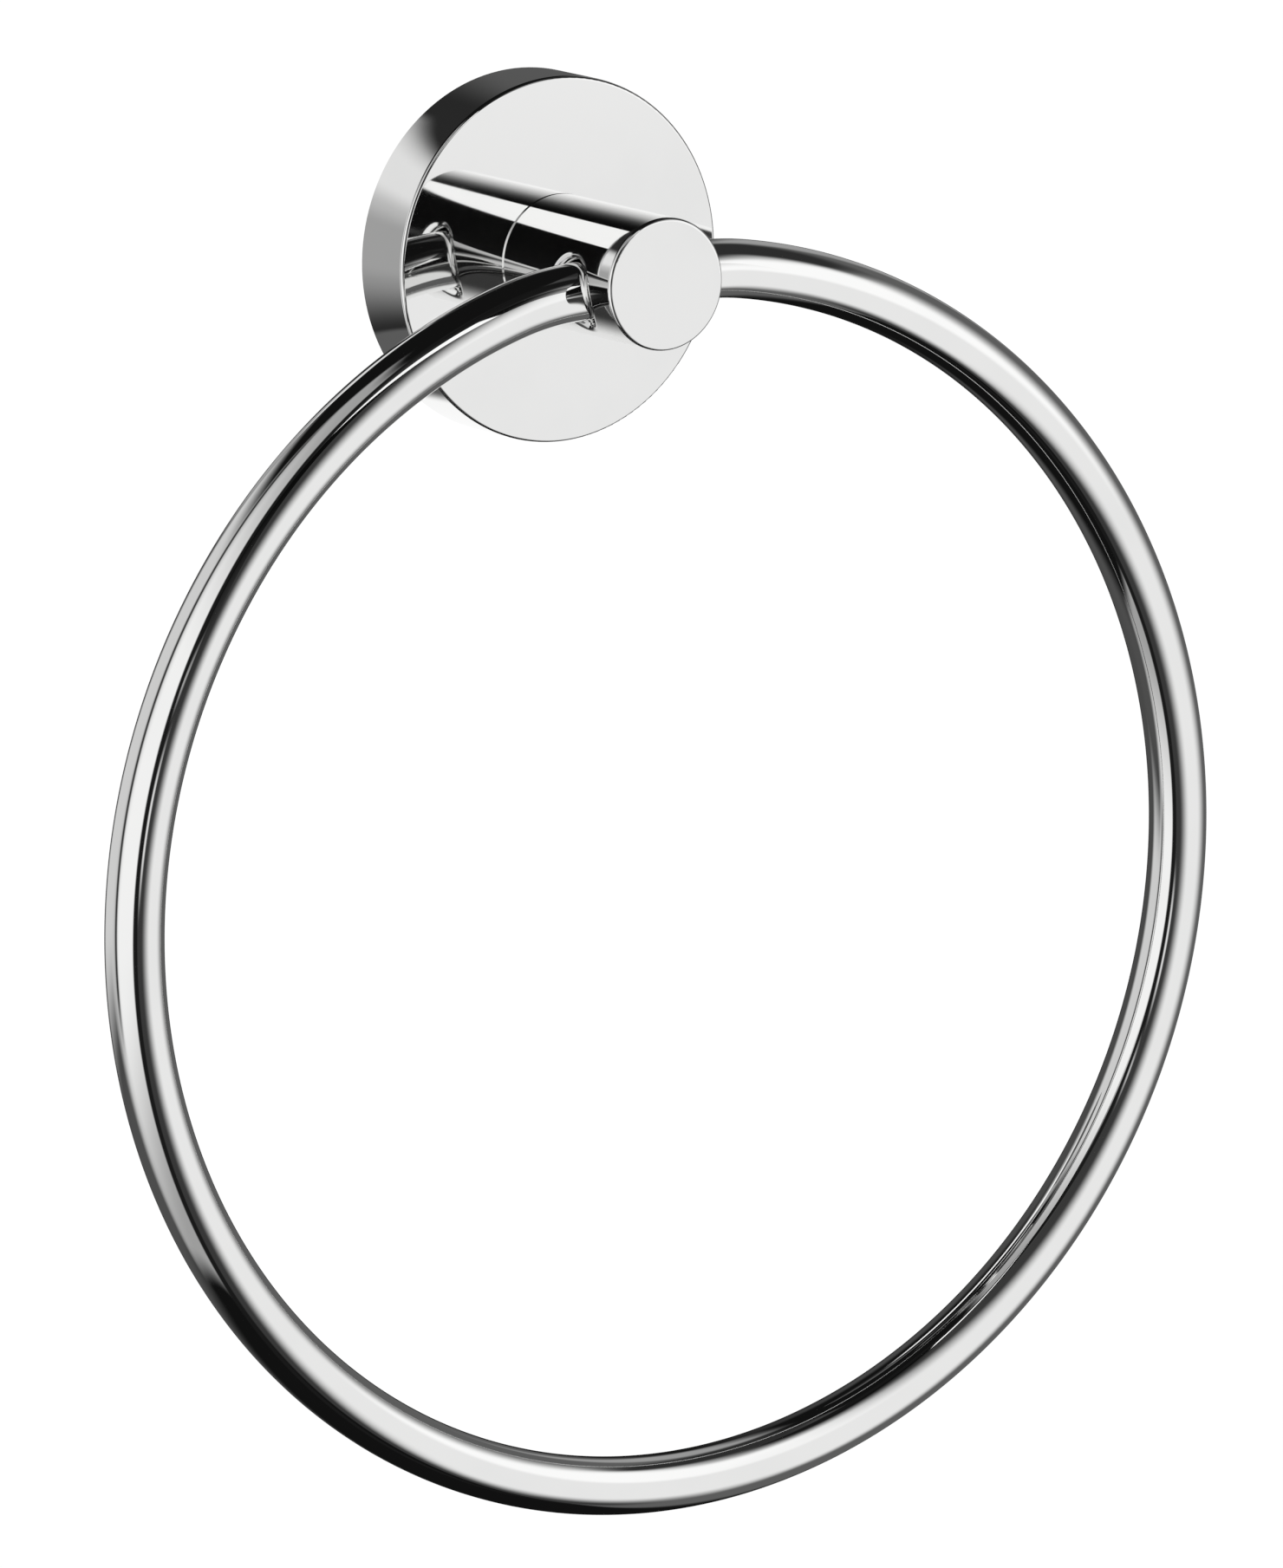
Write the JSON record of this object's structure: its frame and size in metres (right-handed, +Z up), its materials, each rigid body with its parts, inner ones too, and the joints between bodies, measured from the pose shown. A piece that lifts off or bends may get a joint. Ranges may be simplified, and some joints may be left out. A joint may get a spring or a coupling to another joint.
{
  "type": "towel ring",
  "caption": "Wall-mounted towel ring: a round rod ring held through the cross bore of a short cylindrical post on a round rosette, over a hidden wall plate.",
  "frame": {"origin": "the point of the wall plane on the post's axis, midway between the two screw holes of the wall plate", "axes": "+Y into the wall along the post's axis, +Z up, +X to the right as seen from the room"},
  "size_m": [0.1754, 0.0377, 0.1964],
  "materials": {
    "polished_chrome": "mirror-polished chrome plate on brass",
    "zinc_plate": "dull zinc plate",
    "screw_steel": "plain stainless steel"
  },
  "bodies": {
    "root": {"rosette": "polished_chrome", "post": "polished_chrome", "ring": "polished_chrome", "wall_plate": "zinc_plate", "post_screw": "screw_steel", "post_washer": "screw_steel", "ring_clamp_screw": "screw_steel", "rosette_locking_screw": "screw_steel"}
  },
  "joints": []
}
